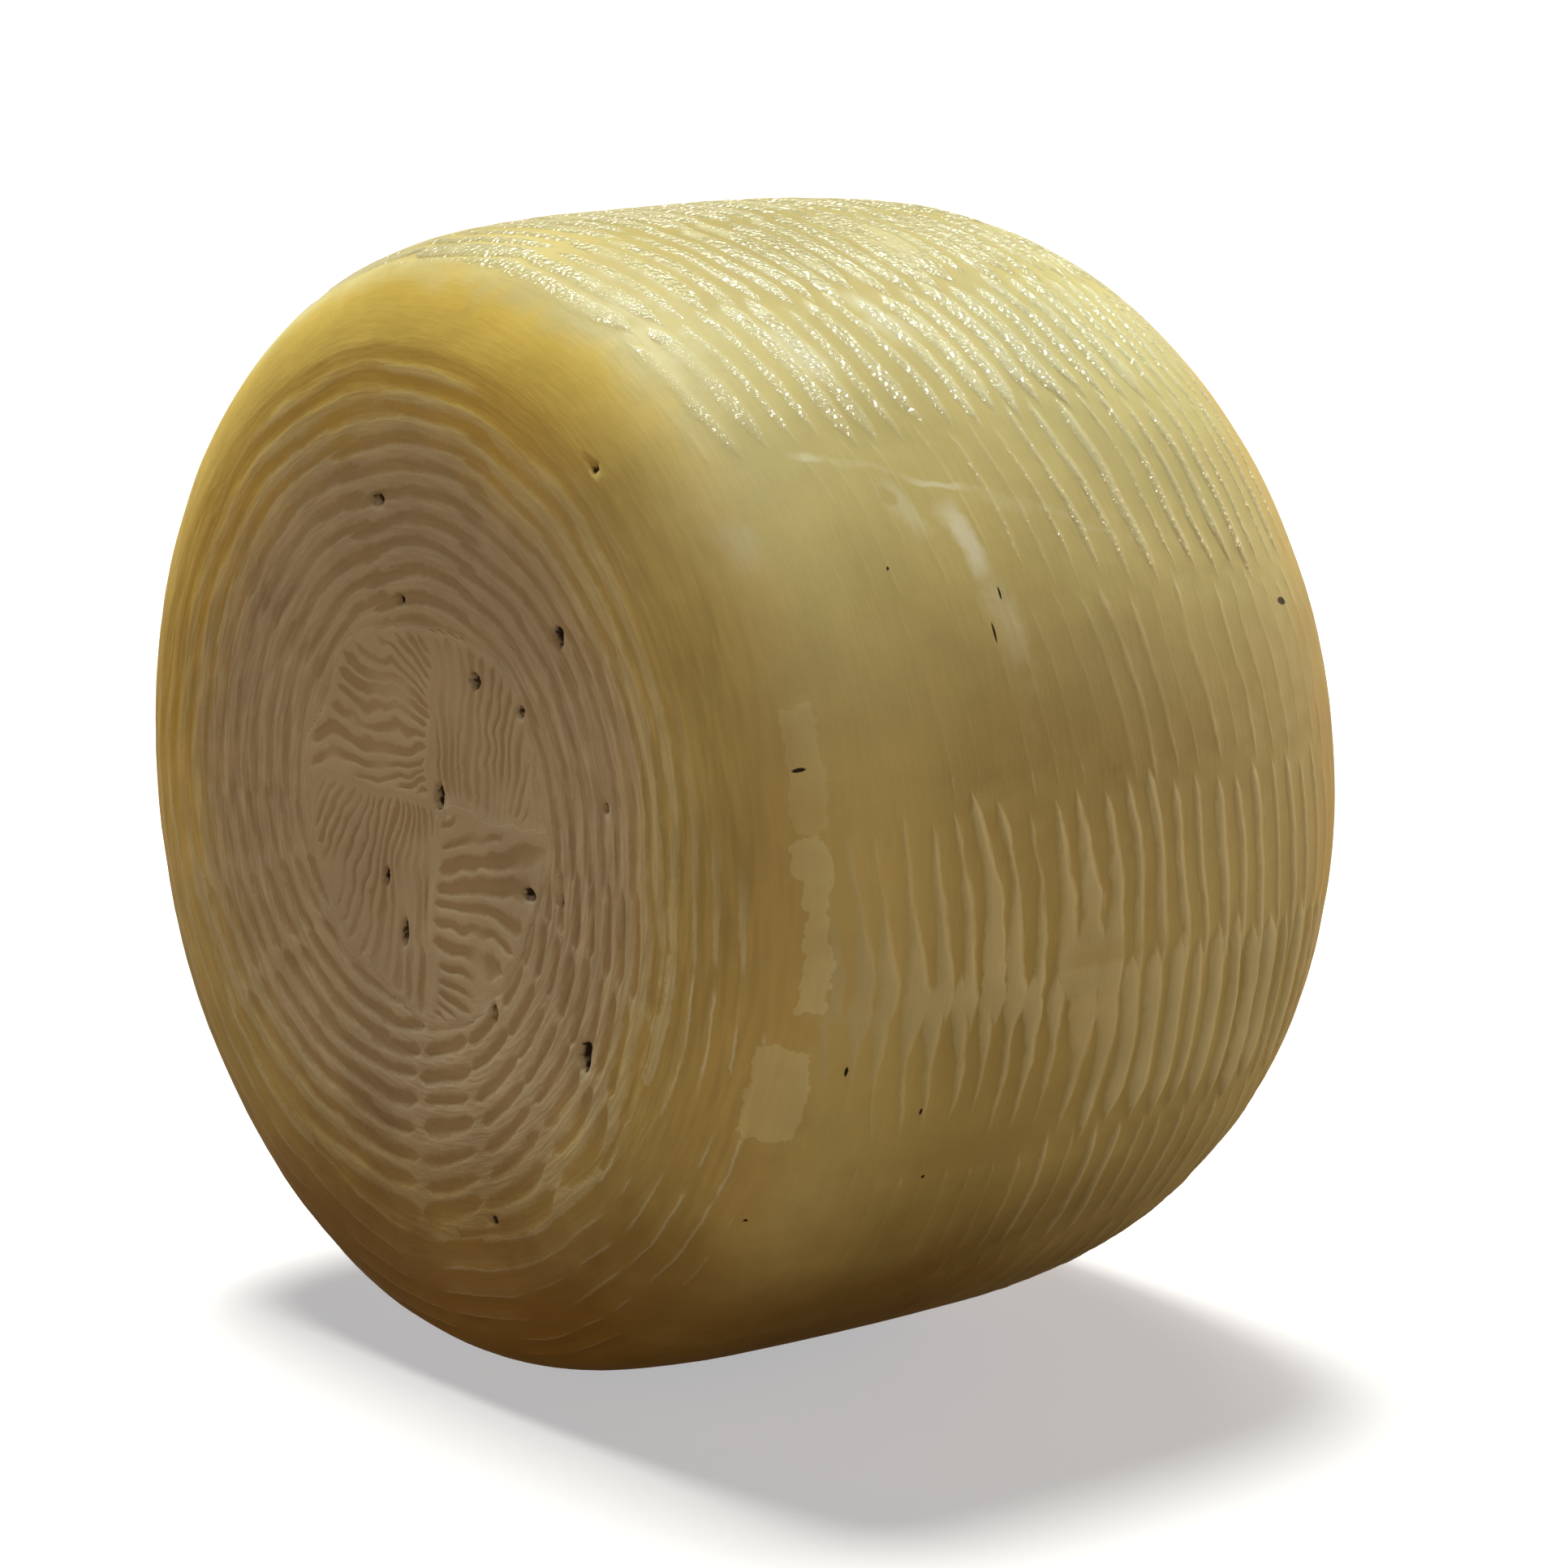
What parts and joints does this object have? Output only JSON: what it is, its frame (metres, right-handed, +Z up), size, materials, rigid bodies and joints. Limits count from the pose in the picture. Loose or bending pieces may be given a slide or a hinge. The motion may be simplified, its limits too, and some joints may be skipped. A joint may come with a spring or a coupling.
{
  "type": "whole pecorino cheese wheel",
  "caption": "Whole pecorino wheel lying on its rounded side: a fat yellow drum with rounded rims, marked all over by the rush basket it drained in.",
  "frame": {"origin": "middle of the bounding box at its bottom, in the plane of the small flat spot that the wheel rests on", "axes": "+Z up, Y along the wheel's own axis with the shown face looking along -Y, X across the wheel"},
  "size_m": [0.201, 0.1424, 0.1985],
  "materials": {
    "rind": "satin"
  },
  "bodies": {
    "root": {"cheese_wheel": "rind"}
  },
  "joints": []
}
